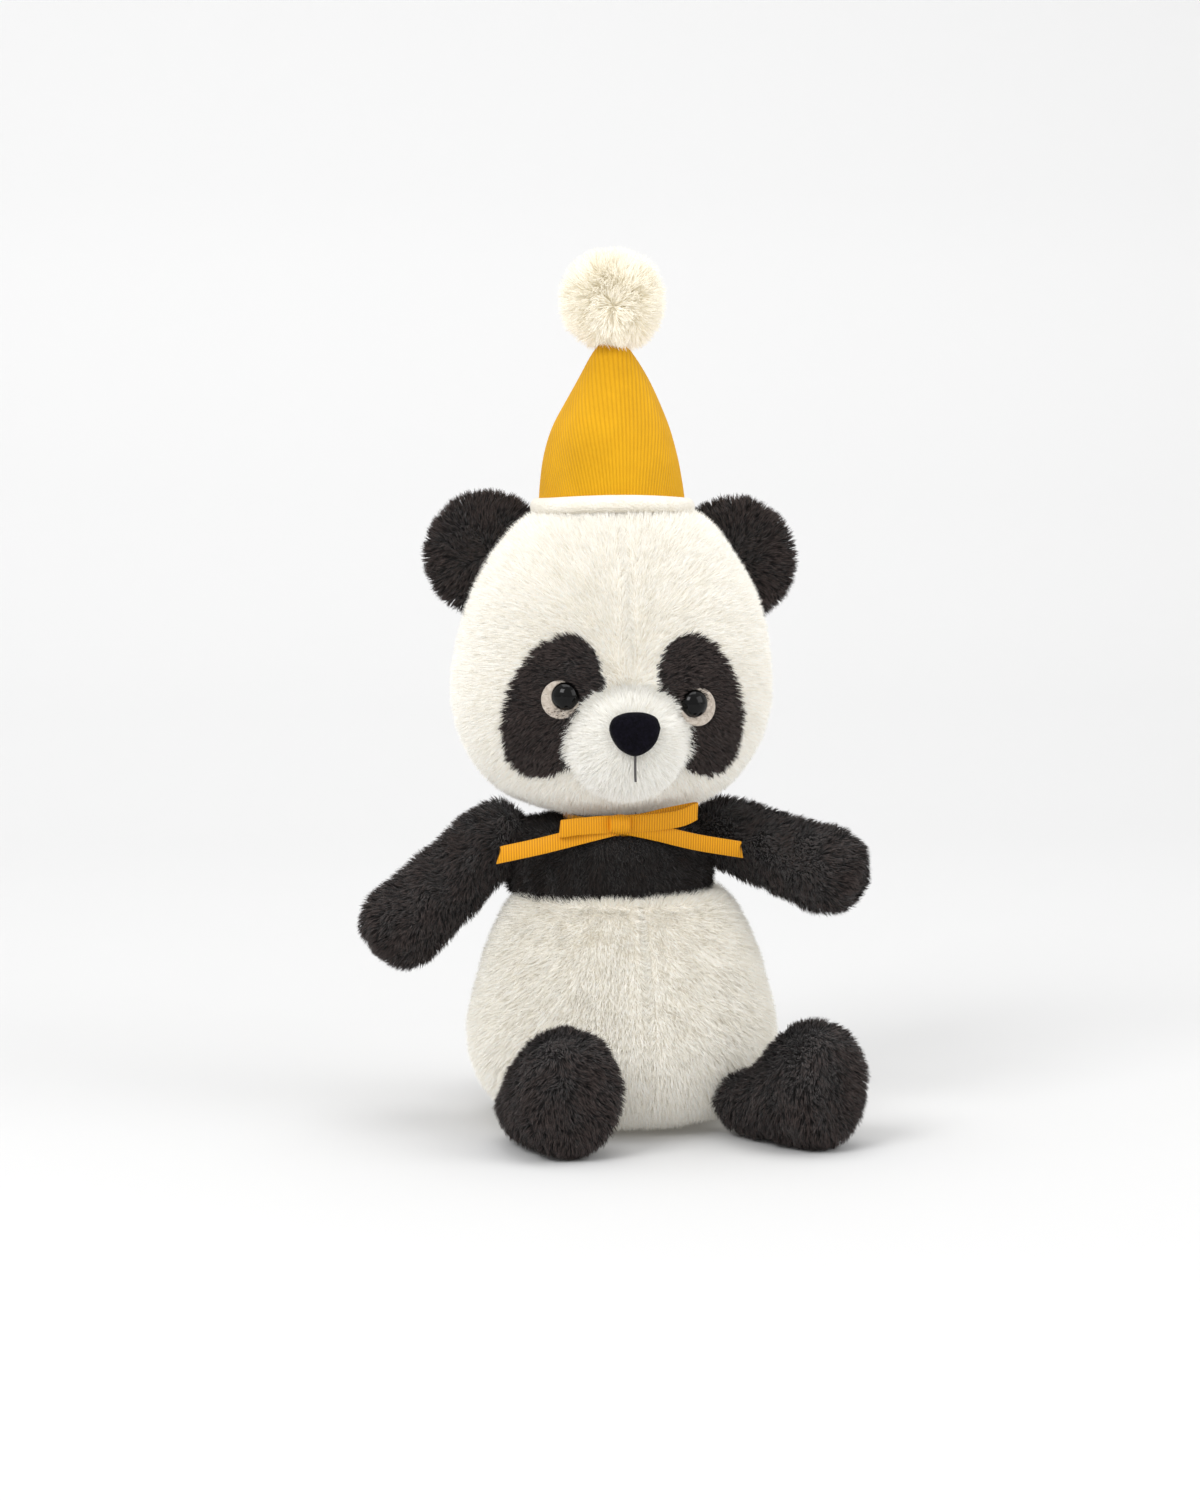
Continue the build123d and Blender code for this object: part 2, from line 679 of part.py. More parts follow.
def ribbon_plane(side, rise, y, drop):
    """The plane a ribbon strip is drawn in: X along the strip, away from the knot, Y towards its front."""
    slope = radians(rise)
    along = Vector(side * cos(slope), 0, sin(slope))
    start = Vector(KNOT_CENTRE[0] + side * (KNOT_SIZE[0] / 2 + BOW_GAP), y, KNOT_CENTRE[2] - drop)
    return Plane(origin=start, x_dir=along, z_dir=along.cross(Vector(0, -1, 0)))


for name, bow in BOW.items():
    with BuildPart() as bow_loop:
        with BuildSketch(ribbon_plane(bow["side"], bow["loop_rise"], KNOT_CENTRE[1] + LOOP_SETBACK, 0)):
            with Locations((LOOP_LENGTH / 2, 0)):
                SlotOverall(LOOP_LENGTH, LOOP_DEPTH)
                SlotOverall(
                    LOOP_LENGTH - 2 * RIBBON_THICKNESS,
                    LOOP_DEPTH - 2 * RIBBON_THICKNESS,
                    mode=Mode.SUBTRACT,
                )
        extrude(amount=RIBBON_WIDTH / 2, both=True)
    save(bow_loop, f"{name}_bow_loop")

    with BuildPart() as bow_tail:
        tail_y = KNOT_CENTRE[1] - TAIL_FORWARD
        with BuildSketch(ribbon_plane(bow["side"], -bow["tail_fall"], tail_y, TAIL_DROP)):
            with BuildLine():
                Spline((0, 0), (TAIL_LENGTH / 2, TAIL_SWELL), (TAIL_LENGTH, -TAIL_CURL))
            trace(line_width=RIBBON_THICKNESS)
        extrude(amount=RIBBON_WIDTH / 2, both=True)
    save(bow_tail, f"{name}_bow_tail")
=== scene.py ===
import math

import bpy
import numpy as np
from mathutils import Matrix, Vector, kdtree


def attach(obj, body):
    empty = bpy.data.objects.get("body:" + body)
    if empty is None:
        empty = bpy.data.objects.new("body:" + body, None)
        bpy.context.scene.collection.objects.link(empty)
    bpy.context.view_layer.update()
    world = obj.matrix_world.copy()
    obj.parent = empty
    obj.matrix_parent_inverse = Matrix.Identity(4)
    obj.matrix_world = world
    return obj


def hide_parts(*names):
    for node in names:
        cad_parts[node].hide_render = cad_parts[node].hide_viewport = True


# Plush panda in a corduroy hat. All helper sizes are in millimetres and become metres in build().
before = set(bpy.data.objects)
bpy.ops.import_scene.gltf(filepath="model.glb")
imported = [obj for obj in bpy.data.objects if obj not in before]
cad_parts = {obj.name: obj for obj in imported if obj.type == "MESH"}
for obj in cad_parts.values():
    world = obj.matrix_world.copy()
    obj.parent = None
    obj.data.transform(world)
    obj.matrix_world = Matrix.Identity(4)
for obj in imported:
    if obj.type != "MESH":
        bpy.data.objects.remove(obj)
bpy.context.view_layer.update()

MM = 0.001
HEAD = np.array([-1.9, 4.0])
FACE_X = -2.7
TORSO = np.array([-2.8, 3.0])
BELLY = np.array([0.0, 0.0])
FUR_AMOUNT = 1.0
CONE_TIP = 198.0
WALE = 0.85
WALE_SPREAD = 0.43


# ---------------------------------------------------------------- small vector helpers
def unit(v):
    """Rows of v with length one."""
    return v / np.maximum(np.linalg.norm(v, axis=-1, keepdims=True), 1e-9)


def swell(x, low, high):
    """Smooth step from 0 at low to 1 at high."""
    t = np.clip((x - low) / (high - low), 0, 1)
    return t * t * (3 - 2 * t)


def ripple(points, scale, seed):
    """Soft noise between about -1 and 1, the same every time."""
    rng = np.random.default_rng(seed)
    total = np.zeros(len(points))
    for _ in range(6):
        way = unit(rng.normal(size=3)) / scale
        total += np.sin(points @ way * 2 * math.pi + rng.uniform(0, 2 * math.pi))
    return total / 3


def smooth_curve(knots, steps):
    """A smooth line through knots, as steps points spaced evenly along the knots."""
    knots = np.array(knots, float)
    t = np.linspace(0, len(knots) - 1, steps)
    i = np.clip(t.astype(int), 0, len(knots) - 2)
    f = (t - i)[:, None]
    before = knots[np.maximum(i - 1, 0)]
    after = knots[np.minimum(i + 2, len(knots) - 1)]
    a, b = knots[i], knots[i + 1]
    m0, m1 = (b - before) / 2, (after - a) / 2
    return (
        (2 * f**3 - 3 * f**2 + 1) * a + (f**3 - 2 * f**2 + f) * m0
        + (-2 * f**3 + 3 * f**2) * b + (f**3 - f**2) * m1
    )


# ---------------------------------------------------------------- meshes
def build(name, points, faces, paints, marks=None, body=None, smooth=True):
    """A mesh object from points in millimetres and faces; marks gives each face its place in paints."""
    mesh = bpy.data.meshes.new(name)
    if isinstance(faces, list):
        counts = np.array([len(f) for f in faces])
        corners = np.concatenate([np.asarray(f) for f in faces])
    else:
        counts, corners = np.full(len(faces), faces.shape[1]), faces.ravel()
    fill_mesh(mesh, points, corners, counts)
    return finish_object(name, mesh, paints, marks, body, smooth)


def fill_mesh(mesh, points, corners, counts):
    """Writes points and faces into an empty mesh."""
    mesh.vertices.add(len(points))
    mesh.vertices.foreach_set("co", (np.asarray(points) * MM).astype(np.float32).ravel())
    mesh.loops.add(len(corners))
    mesh.loops.foreach_set("vertex_index", corners.astype(np.int32))
    mesh.polygons.add(len(counts))
    starts = np.concatenate([[0], np.cumsum(counts)[:-1]])
    mesh.polygons.foreach_set("loop_start", starts.astype(np.int32))
    mesh.update(calc_edges=True)
    mesh.validate()


def finish_object(name, mesh, paints, marks, body, smooth):
    """Puts a filled mesh in the scene with its paints, riding on its body."""
    for paint in paints:
        mesh.materials.append(paint)
    if marks is not None:
        mesh.polygons.foreach_set("material_index", np.asarray(marks, np.int32))
    mesh.polygons.foreach_set("use_smooth", np.full(len(mesh.polygons), smooth))
    thing = bpy.data.objects.new(name, mesh)
    bpy.context.scene.collection.objects.link(thing)
    if body:
        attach(thing, body)
    return thing


def closed_grid(rings):
    """Points and faces of a closed skin from rings of shape (rows, columns, 3)."""
    rows, columns, _ = rings.shape
    points = rings.reshape(-1, 3)
    index = np.arange(rows * columns).reshape(rows, columns)
    around = np.roll(index, -1, axis=1)
    quads = np.stack([index[:-1], around[:-1], around[1:], index[1:]], -1).reshape(-1, 4)
    low, high = len(points), len(points) + 1
    points = np.vstack([points, rings[0].mean(0), rings[-1].mean(0)])
    faces = list(quads)
    faces += [np.array([low, around[0, i], index[0, i]]) for i in range(columns)]
    faces += [np.array([high, index[-1, i], around[-1, i]]) for i in range(columns)]
    return points, faces


def triangles(faces):
    """Every face as triangles, with the number of the face that each came from."""
    made, source = [], []
    for number, face in enumerate(faces):
        for k in range(1, len(face) - 1):
            made.append((face[0], face[k], face[k + 1]))
            source.append(number)
    return np.array(made), np.array(source)


def part_of(points, faces, keep):
    """Only the faces where keep is true, with the points that they use."""
    chosen = [f for f, k in zip(faces, keep) if k]
    used = np.unique(np.concatenate(chosen))
    renumber = np.full(len(points), -1)
    renumber[used] = np.arange(len(used))
    return points[used], [renumber[f] for f in chosen]


def face_centres(points, faces):
    """The middle of each face."""
    return np.array([points[f].mean(0) for f in faces])


def looped_grid(rings):
    """Points and faces of a grid whose rings join end to end, as on a tyre."""
    rows, columns = rings.shape[:2]
    index = np.arange(rows * columns).reshape(rows, columns)
    below = np.roll(index, -1, 0)
    faces = np.stack([index, below, np.roll(below, -1, 1), np.roll(index, -1, 1)], -1).reshape(-1, 4)
    return rings.reshape(-1, 3), list(faces)


def turned(outline, centre, rows=70, columns=120, dents=0.0, seed=0):
    """Rings of a round form about a vertical line through centre, from (radius, height) knots."""
    line = smooth_curve(outline, rows)
    angle = np.linspace(0, 2 * math.pi, columns, endpoint=False)
    radius = np.maximum(line[:, 0], 0.05)[:, None]
    rings = np.stack(
        [
            centre[0] + radius * np.sin(angle),
            centre[1] - radius * np.cos(angle),
            np.repeat(line[:, 1:2], columns, axis=1),
        ],
        -1,
    )
    if dents:
        flat = rings.reshape(-1, 3)
        middle = np.array([centre[0], centre[1], line[:, 1].mean()])
        flat += unit(flat - middle) * (ripple(flat, 26, seed) * dents)[:, None]
        rings = flat.reshape(rings.shape)
    return rings


def along_limb(root, way, knots, rows=50, columns=64, slide=0.0):
    """Rings round a limb; knots are (distance, half width, half height, rise of the middle).

    slide carries the outer end sideways, in step with the rise.
    """
    way = unit(np.array(way, float))
    side = unit(np.cross([0, 0, 1], way))
    up = np.cross(way, side)
    line = smooth_curve(knots, rows)
    angle = np.linspace(0, 2 * math.pi, columns, endpoint=False)
    out = []
    top = max(line[:, 3].max(), 1.0)
    for distance, wide, high, rise in line:
        middle = np.array(root) + way * distance + up * rise + side * (slide * max(rise, 0) / top)
        wide, high = max(wide, 0.05), max(high, 0.05)
        out.append(middle + np.outer(np.cos(angle) * wide, side) + np.outer(np.sin(angle) * high, up))
    return np.array(out)


# ---------------------------------------------------------------- paints
class Amount:
    """One number inside a paint, so that its maths reads as ordinary arithmetic."""

    def __init__(self, paint, socket):
        self.paint, self.socket = paint, socket

    def _do(self, operation, first, second):
        return self.paint.node("ShaderNodeMath", {"operation": operation}, {0: first, 1: second})

    def __add__(self, other):
        return self._do("ADD", self, other)

    def __sub__(self, other):
        return self._do("SUBTRACT", self, other)

    def __rsub__(self, other):
        return self._do("SUBTRACT", other, self)

    def __mul__(self, other):
        return self._do("MULTIPLY", self, other)

    def __pow__(self, other):
        return self._do("POWER", self, other)

    __radd__ = __add__
    __rmul__ = __mul__

    def sine(self):
        return self.paint.node("ShaderNodeMath", {"operation": "SINE"}, {0: self})

    def size(self):
        return self.paint.node("ShaderNodeMath", {"operation": "ABSOLUTE"}, {0: self})

    def angle_from(self, other):
        """The angle whose sine goes with this amount and whose cosine goes with other."""
        return self._do("ARCTAN2", self, other)


class Paint:
    """One procedural finish."""

    def __init__(self, name, **constants):
        self.material = bpy.data.materials.new(name)
        self.material.use_nodes = True
        self.tree = self.material.node_tree
        self.shader = self.tree.nodes["Principled BSDF"]
        for socket, value in constants.items():
            self.shader.inputs[socket.replace("_", " ")].default_value = value

    def node(self, kind, settings=None, inputs=None, output=0):
        """Any node: its settings first, then its values and links."""
        made = self.tree.nodes.new(kind)
        for key, value in (settings or {}).items():
            setattr(made, key, value)
        for key, value in (inputs or {}).items():
            if isinstance(value, Amount):
                self.tree.links.new(value.socket, made.inputs[key])
            else:
                made.inputs[key].default_value = value
        return Amount(self, made.outputs[output])

    def place(self):
        """The point on the piece, in metres."""
        return self.node("ShaderNodeTexCoord", output="Object")

    def speckle(self, size_mm, detail=2.0):
        """Soft noise with patches about size_mm wide."""
        inputs = {"Vector": self.place(), "Scale": 1 / (size_mm * MM), "Detail": detail}
        return self.node("ShaderNodeTexNoise", None, inputs)

    def cells(self, size_mm):
        """The distance to the nearest of many scattered points, as in a pressed or cut pile."""
        return self.node("ShaderNodeTexVoronoi", None, {"Vector": self.place(), "Scale": 1 / (size_mm * MM)})

    def mix(self, amount, first, second):
        """A colour between two."""
        return self.node("ShaderNodeMix", {"data_type": "RGBA"}, {0: amount, 6: first, 7: second}, output=2)

    def ramp(self, amount, low, high):
        """amount stretched so that low becomes 0 and high becomes 1."""
        return self.node("ShaderNodeMapRange", None, {0: amount, 1: low, 2: high, 3: 0.0, 4: 1.0})

    def wear(self, colour=None, roughness=None, height=None, depth_mm=0.2):
        """Joins the surface's colour, roughness and relief to the shader."""
        if colour:
            self.tree.links.new(colour.socket, self.shader.inputs["Base Color"])
        if roughness:
            self.tree.links.new(roughness.socket, self.shader.inputs["Roughness"])
        if height:
            inputs = {"Height": height, "Distance": depth_mm * MM, "Strength": 0.8}
            bump = self.node("ShaderNodeBump", None, inputs)
            self.tree.links.new(bump.socket, self.shader.inputs["Normal"])
        return self.material


def rgb(text):
    """A screen colour such as efece2 as a linear colour."""
    parts = [int(text[i : i + 2], 16) / 255 for i in (0, 2, 4)]
    return (*[c / 12.92 if c <= 0.04045 else ((c + 0.055) / 1.055) ** 2.4 for c in parts], 1.0)


def pile_backing(name, deep, light):
    """Knitted backing seen between the strands: uneven tone and a small loop relief."""
    paint = Paint(name, Sheen_Weight=0.3, Sheen_Roughness=0.5)
    tone = paint.ramp(paint.speckle(4.0, 4.0), 0.3, 0.7)
    loops = paint.cells(0.6)
    return paint.wear(paint.mix(tone, rgb(deep), rgb(light)), loops * 0.2 + 0.75, loops, 0.3)


def strand(name, colour, sheen=0.2, glow=0.0):
    """One tone of the pile; glow stands for the light that pale fibres pass on to each other."""
    paint = Paint(name, Base_Color=rgb(colour), Roughness=0.85, Sheen_Weight=sheen, Specular_IOR_Level=0.2,
                  Emission_Color=rgb(colour), Emission_Strength=glow)
    return paint.material


def tones(name, *colours, sheen=0.2, glow=0.0):
    """Root, middle and tip tones of one pile."""
    parts = ("root", "middle", "tip")
    return [strand(f"{name}_{part}", colour, sheen, glow) for part, colour in zip(parts, colours)]


def wale_slant(height):
    """The way down the cone from its tip, for a height in millimetres, as laid out flat."""
    return (CONE_TIP - height) * 1.09


def corduroy(name):
    """Fine-wale cotton corduroy with painted shade in the hollows between the wales, which are darker and
    duller, a little uneven.
    """
    paint = Paint(name, Sheen_Weight=0.06, Sheen_Roughness=0.4, Specular_IOR_Level=0.25)
    place = paint.place()
    x, y, z = (paint.node("ShaderNodeSeparateXYZ", None, {0: place}, output=i) * (1 / MM) for i in range(3))
    angle = (x - float(HEAD[0])).angle_from(float(HEAD[1]) - y)
    ridge = ((wale_slant(z) * (angle * WALE_SPREAD).sine()) * (math.pi / WALE) + math.pi / 2).sine().size()
    worn = paint.ramp(paint.speckle(9.0, 3.0), 0.3, 0.7)
    nap = paint.speckle(0.5, 3.0)
    colour = paint.mix(worn, rgb("cc9300"), rgb("dba003"))
    colour = paint.mix(nap * 0.4, colour, rgb("e6b428"))
    # Painted shade: the hollows between the wales are painted darker, towards 9c6c00.
    colour = paint.mix((1 - ridge) ** 2.0 * 0.25, colour, rgb("9c6c00"))
    return paint.wear(colour, nap * 0.2 + 0.75, ridge + nap * 0.3, 0.15)


def grosgrain(name):
    """Ribbon with close cross ribs and a satin shine; the rib crests are painted lighter and the hollows
    darker, as painted light and shade.
    """
    paint = Paint(name, Sheen_Weight=0.04, Specular_IOR_Level=0.3)
    across = paint.node("ShaderNodeSeparateXYZ", None, {0: paint.place()})
    rib = (across * (2 * math.pi / (0.62 * MM))).sine() * 0.5 + 0.5
    # Painted light and shade: each rib is painted lighter on its crest and darker in the hollow beside it.
    colour = paint.mix(rib, rgb("c98200"), rgb("f0a600"))
    return paint.wear(colour, rib * 0.15 + 0.5, rib, 0.1)


def felt(name, deep, light, sheen=0.3):
    """Pressed felt: matted cells with stray lighter fibres."""
    paint = Paint(name, Sheen_Weight=sheen, Sheen_Roughness=0.6, Specular_IOR_Level=sheen)
    mat, fibre = paint.cells(0.35), paint.speckle(0.8, 5.0)
    colour = paint.mix(paint.ramp(fibre, 0.35, 0.65), rgb(deep), rgb(light))
    return paint.wear(colour, mat * 0.1 + 0.85, mat, 0.15)


def polished(name):
    """Moulded glossy black plastic with faint handling haze."""
    paint = Paint(name, Coat_Weight=0.08, Coat_Roughness=0.05, Specular_IOR_Level=0.18)
    haze = paint.speckle(2.5, 3.0)
    return paint.wear(paint.mix(haze * 0.3, rgb("020202"), rgb("0a0807")), haze * 0.05 + 0.08)


def thread(name, colour):
    """Twisted sewing thread."""
    paint = Paint(name, Sheen_Weight=0.2)
    twist = paint.speckle(0.3, 2.0)
    return paint.wear(paint.mix(twist * 0.5, rgb(colour), rgb("8a8580")), twist * 0.2 + 0.6, twist, 0.1)


CREAM_BACK = pile_backing("cream_plush_backing", "ebe4d6", "f6f1e7")
WHITE_BACK = pile_backing("muzzle_plush_backing", "eceae3", "f6f5f0")
BLACK_BACK = pile_backing("black_plush_backing", "15110f", "272120")
SHORT_BACK = pile_backing("short_black_pile", "0c0908", "1a1412")
CREAM_TONES = tones("cream_pile", "f1ede2", "f8f5ed", "fcfaf5", glow=0.06)
WHITE_TONES = tones("white_pile", "efece4", "f6f4ee", "fbfaf6", glow=0.05)
BLACK_TONES = tones("black_pile", "191413", "2d2624", "463c39", sheen=0.3)
TORSO_TONES = tones("torso_pile", "0b0807", "1a1411", "2a2320")
YARN_TONES = tones("pompom_yarn", "f1ebda", "f7f2e5", "fcf8ee", glow=0.12)


# ---------------------------------------------------------------- pile
def scatter(points, faces, per_mm2, rng, keep=None):
    """Random places on a skin with the way that the skin faces there."""
    tris, source = triangles(faces)
    if keep is not None:
        tris = tris[np.asarray(keep)[source]]
    a, b, c = points[tris[:, 0]], points[tris[:, 1]], points[tris[:, 2]]
    cross = np.cross(b - a, c - a)
    area = np.linalg.norm(cross, axis=1) / 2
    amount = int(area.sum() * per_mm2 * FUR_AMOUNT)
    pick = rng.choice(len(tris), amount, p=area / area.sum())
    u, v = rng.random((2, amount, 1))
    over = u + v > 1
    u, v = np.where(over, 1 - u, u), np.where(over, 1 - v, v)
    roots = a[pick] + u * (b - a)[pick] + v * (c - a)[pick]
    return roots, unit(cross[pick])


def grow(name, skin, body, tones, seed, length=3.2, width=0.3, per_mm2=4.0, lie=None, lean=0.5,
         tuft=1.6, pull=0.45, keep=None, floor=0.12, ragged=0.35, straight=False, swirl=0.35):
    """A coat of pile on a skin: tapered strands that lean with lie and draw together into tufts."""
    rng = np.random.default_rng(seed)
    roots, out = scatter(*skin, per_mm2, rng, keep)
    count = len(roots)
    flow = lie(roots, out) if lie else np.tile([0.0, 0.0, -1.0], (count, 1))
    flow = flow - out * (flow * out).sum(1, keepdims=True)
    drift = np.stack([ripple(roots, 7.0, seed + k) for k in (1, 2, 3)], 1) * swirl
    way = unit(out + unit(flow) * lean + drift + rng.normal(size=(count, 3)) * 0.2)
    reach = length * (1 + ragged * (rng.random(count) - 0.5) * 2) * (1 + 0.06 * ripple(roots, 4.0, seed + 9))
    tips = roots + way * reach[:, None]
    hubs = rng.choice(count, max(int(count / (per_mm2 * FUR_AMOUNT * tuft * tuft)), 1), replace=False)
    tree = kdtree.KDTree(len(hubs))
    for number, hub in enumerate(hubs):
        tree.insert(roots[hub], number)
    tree.balance()
    nearest = hubs[[tree.find(r)[1] for r in roots]]
    gather = pull * rng.uniform(0.6, 1.2, (count, 1))
    tips += (roots[nearest] + way[nearest] * (length * 1.12) - tips) * gather
    middle = (roots + tips) / 2 + out * reach[:, None] * 0.1
    across = unit(np.cross(out + rng.normal(size=(count, 3)) * 0.35, tips - roots)) * (width / 2)
    luck = rng.random(count)
    if straight:
        points = np.stack([roots - across, roots + across, tips], 1)
        corners, counts = np.arange(count * 3), np.full(count, 3)
        marks = np.digitize(luck, [0.2, 0.55])
    else:
        waist = across * 0.75
        points = np.stack([roots - across, roots + across, middle - waist, middle + waist, tips], 1)
        corners = (np.arange(count)[:, None] * 5 + np.array([0, 1, 3, 2, 2, 3, 4])).ravel()
        counts = np.tile([4, 3], count)
        marks = np.stack([np.where(luck < 0.5, 0, 1), np.where(luck < 0.35, 1, 2)], 1).ravel()
    points[:, :, 2] = np.maximum(points[:, :, 2], floor)
    mesh = bpy.data.meshes.new(name)
    fill_mesh(mesh, points.reshape(-1, 3), corners, counts)
    return finish_object(name, mesh, tones, marks, body, False)


# ---------------------------------------------------------------- head
HEAD_OUTLINE = [
    (0.1, 78.0), (9, 78.2), (18.8, 79.7), (28.4, 84.8), (35.0, 93.2), (38.2, 103), (38.4, 112.5),
    (37.0, 121.5), (34.2, 131), (29.4, 140), (22.2, 148.8), (11, 154.0), (0.1, 155),
]
MUZZLE = np.array([FACE_X, -27.0, 97.0])
PATCH_SPREAD, PATCH_Z, PATCH_WIDE, PATCH_HIGH, PATCH_TILT = 17.2, 105.4, 10.5, 17.4, 17.0


def head_skin():
    """The stuffed head with its muzzle swelling out of the lower face."""
    rings = turned(HEAD_OUTLINE, HEAD, 150, 260, 0.35, 4)
    flat = rings.reshape(-1, 3)
    outward = unit(flat - np.array([HEAD[0], HEAD[1], 109.0]))
    start = flat - MUZZLE
    along = (start * outward).sum(1)
    inside = along**2 - (start**2).sum(1) + 13.6**2
    reach = np.where(inside > 0, -along + np.sqrt(np.maximum(inside, 0)), -5)
    front = flat[:, 1] < -12
    push = np.where(front, np.log1p(np.exp(np.clip(reach * 1.3, -30, 30))) / 1.3, 0)
    flat += outward * push[:, None]
    seam = np.exp(-((flat[:, 0] - FACE_X) / 1.1) ** 2) * swell(flat[:, 2], 112, 120) * (flat[:, 1] < 0)
    flat -= outward * (seam * 0.8)[:, None]
    return closed_grid(flat.reshape(rings.shape))


def patch_mask(points, side):
    """How far inside the oval eye patch a point is: 1 in the middle, 0 on its edge."""
    tilt = math.radians(PATCH_TILT) * side
    x, z = points[:, 0] - (FACE_X + side * PATCH_SPREAD), points[:, 2] - PATCH_Z
    u = (x * math.cos(tilt) + z * math.sin(tilt)) / PATCH_WIDE
    v = (-x * math.sin(tilt) + z * math.cos(tilt)) / PATCH_HIGH
    return np.where(points[:, 1] < -6, 1 - np.hypot(u, v), -1.0)


def muzzle_mask(points):
    """The same for the muzzle."""
    off = points - MUZZLE
    return np.where(points[:, 1] < -26, 1 - np.hypot(off[:, 0] / 15.0, off[:, 2] / 14.0), -1.0)


head_points, head_faces = head_skin()
centres = face_centres(head_points, head_faces)
in_muzzle = muzzle_mask(centres) > 0
in_patch = {side: (patch_mask(centres, side) > 0) & ~in_muzzle for side in (-1, 1)}
plain = ~(in_muzzle | in_patch[-1] | in_patch[1])
SIDES = {"right": -1, "left": 1}


def face_lie(points, out):
    """Head pile runs down and away from the middle of the face, and back over the sides."""
    away = points - np.array([FACE_X, -40.0, 104.0])
    return unit(away) + np.array([0.0, 0.3, -0.45])


head_cover = build("head_cover", *part_of(head_points, head_faces, plain), [CREAM_BACK], body="head")
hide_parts("face_panel", "right_head_back_panel", "left_head_back_panel", "head_stuffing")
CREAM_COAT = dict(per_mm2=11.0, lean=0.7, width=0.24, tuft=0.8, pull=0.22, straight=True, swirl=0.12)
LIMB_COAT = dict(per_mm2=9.0, length=2.6, lean=0.8, width=0.24, tuft=1.2, pull=0.4)
MUZZLE_MIDDLE = np.array([FACE_X, -45.0, 100.0])
head_pile = grow("head_pile", (head_points, head_faces), "head", CREAM_TONES, 11, keep=plain, lie=face_lie,
                 length=2.2, **CREAM_COAT)
muzzle_cover = build("muzzle_cover", *part_of(head_points, head_faces, in_muzzle), [WHITE_BACK], body="head")
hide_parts("muzzle", "muzzle_stuffing")
muzzle_pile = grow("muzzle_pile", (head_points, head_faces), "head", WHITE_TONES, 12, keep=in_muzzle,
                   lie=lambda p, n: unit(p - MUZZLE_MIDDLE), per_mm2=12.0, length=2.1, lean=0.9,
                   width=0.24, tuft=0.8, pull=0.22, straight=True, swirl=0.12)
for name, side in SIDES.items():
    patch = part_of(head_points, head_faces, in_patch[side])
    cover = build(f"{name}_eye_patch_cover", *patch, [BLACK_BACK], body="head")
    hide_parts(f"{name}_eye_patch")
    pile = grow(f"{name}_eye_patch_pile", (head_points, head_faces), "head", BLACK_TONES, 20 + side,
                keep=in_patch[side], lie=face_lie, per_mm2=11.0, length=2.3, lean=0.85, width=0.24,
                tuft=1.0, pull=0.3)


# ---------------------------------------------------------------- eyes, nose and mouth
EYE_Z = {"right": 108.2, "left": 106.2}
EYE_OUT = 15.7
FACE_RADIUS = 40.2
EYE_SINK = 0.6
DISC_RADIUS = 4.7
DISC_HEIGHT = 0.9
DOME_RADIUS = 3.45
DOME_HEIGHT = 2.9
NOSE_PLACE = np.array([FACE_X, -42.6, 99.8])
NOSE_HEIGHT = 1.5
THREAD_RADIUS = 0.32
POLISHED = polished("polished_black_plastic")
DISC_FELT = felt("taupe_felt", "b3a697", "d2c7bb")
NOSE_FELT = felt("navy_felt", "030207", "0d0b15", 0.04)
NAVY_THREAD = thread("navy_thread", "100e1a")
CREAM_THREAD = thread("cream_thread", "d9d0ba")


def plate(centre, looks, outline, height, edge=0.25, rows=8):
    """A thin rounded plate facing looks, from an outline of (across, up) points round its middle."""
    looks = unit(np.array(looks, float))
    across = unit(np.cross(looks, [0, 0, 1]))
    up = np.cross(across, looks)
    outline = np.array(outline, float)
    rings = [centre + np.outer(outline[:, 0], across) + np.outer(outline[:, 1], up) - looks * 1.5]
    for t in np.linspace(0, 1, rows):
        shrink = 1 - edge * (1 - math.cos(t * math.pi / 2))
        rise = height * math.sin(t * math.pi / 2)
        flat_ring = centre + np.outer(outline[:, 0] * shrink, across) + np.outer(outline[:, 1] * shrink, up)
        rings.append(flat_ring + looks * rise)
    return closed_grid(np.array(rings))


def circle(radius, steps=64):
    """Points round a circle."""
    angle = np.linspace(0, 2 * math.pi, steps, endpoint=False)
    return np.stack([np.cos(angle) * radius, np.sin(angle) * radius], 1)


for name, side in SIDES.items():
    across = FACE_X + side * EYE_OUT - HEAD[0]
    deep = math.sqrt(FACE_RADIUS**2 - across**2)
    looks = unit(np.array([across, -deep, 0.0]))
    point = np.array([HEAD[0] + across, HEAD[1] - deep, EYE_Z[name]]) - looks * EYE_SINK
    outward = np.array([-looks[1] * side, looks[0] * side, 0.0])
    disc_place = point + outward * 1.5 - [0, 0, 0.9] - looks * 0.4
    disc = build(f"{name}_felt_disc_cover", *plate(disc_place, looks, circle(DISC_RADIUS), DISC_HEIGHT, 0.08),
                 [DISC_FELT], body="head")
    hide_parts(f"{name}_felt_disc")
    dome_form = plate(point + looks * 0.3, looks, circle(DOME_RADIUS), DOME_HEIGHT, 1.0, 18)
    dome = build(f"{name}_eye_dome", *dome_form, [POLISHED], body="head")
    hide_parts(f"{name}_safety_eye", f"{name}_lock_washer")

nose_outline = smooth_curve(
    [
        (-6.1, 1.3), (-5.2, 3.7), (-2.8, 4.9), (0, 5.2), (2.8, 4.9), (5.2, 3.7), (6.1, 1.3),
        (5.2, -1.6), (3.2, -4.0), (0, -5.3), (-3.2, -4.0), (-5.2, -1.6), (-6.1, 1.3),
    ],
    73,
)[:-1]
nose_form = plate(NOSE_PLACE, [0, -1, 0.12], nose_outline[::-1], NOSE_HEIGHT, 0.45)
nose = build("nose_pad", *nose_form, [NOSE_FELT], body="head")
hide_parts("nose")


